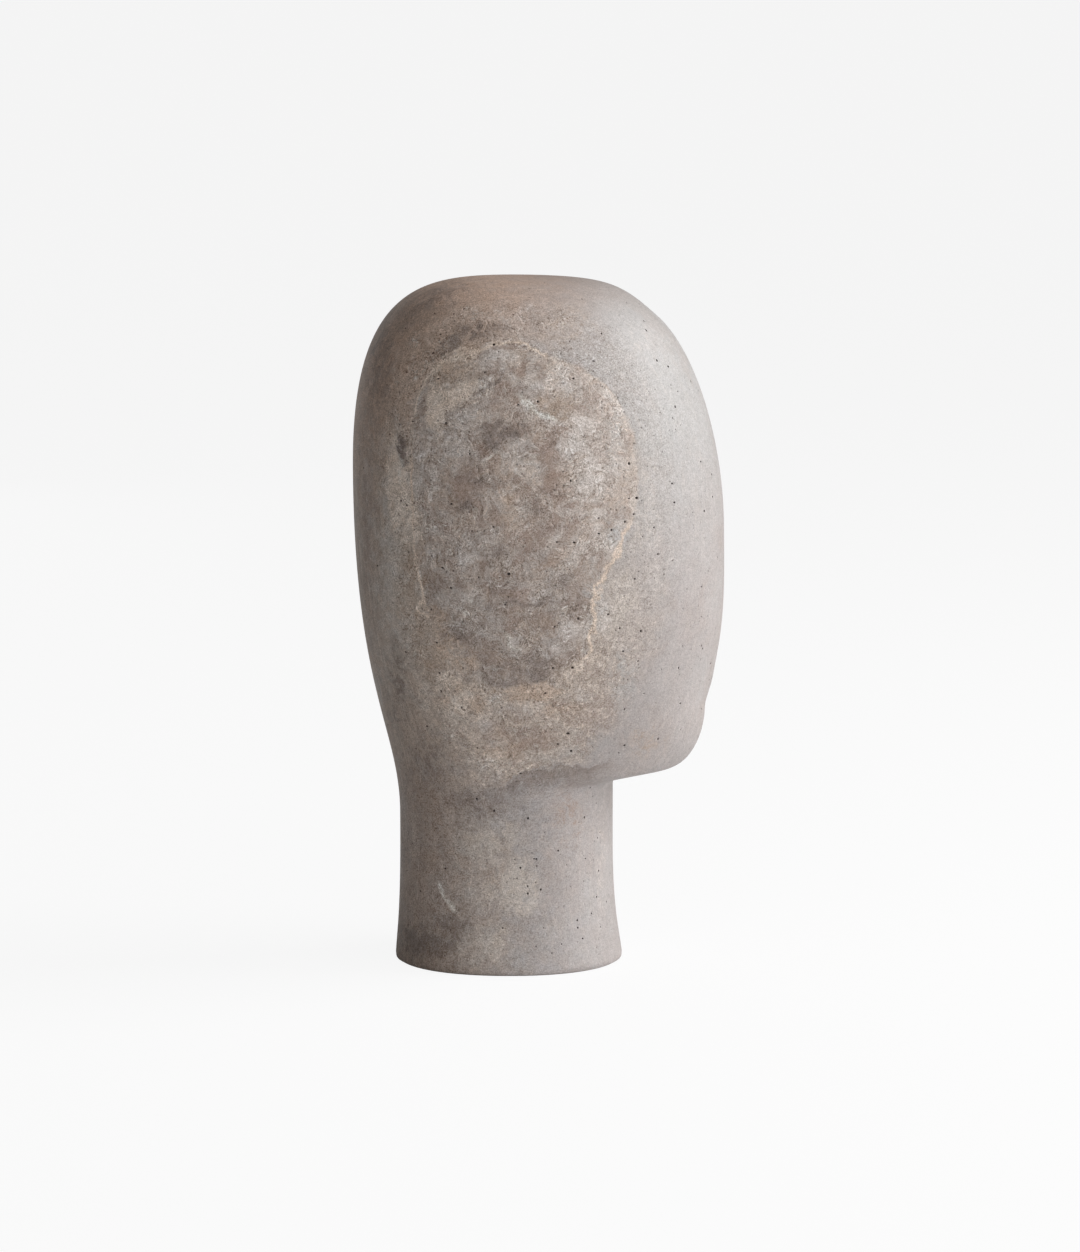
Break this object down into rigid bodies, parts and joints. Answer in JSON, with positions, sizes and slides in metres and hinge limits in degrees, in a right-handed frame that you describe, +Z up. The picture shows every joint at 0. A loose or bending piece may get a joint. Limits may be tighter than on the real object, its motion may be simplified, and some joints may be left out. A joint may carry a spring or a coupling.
{
  "type": "stone head sculpture",
  "caption": "Plain carved travertine head on its neck, smooth oval form with a low nose, cut flat below to stand on a table or plinth.",
  "frame": {"origin": "middle of the flat underside", "axes": "+Z up along the neck to the crown, +X towards the face, +Y to the head's left, mirror plane XZ"},
  "size_m": [0.2052, 0.158, 0.38],
  "materials": {
    "travertine": "honed"
  },
  "bodies": {
    "root": {"stone_head": "travertine"}
  },
  "joints": []
}
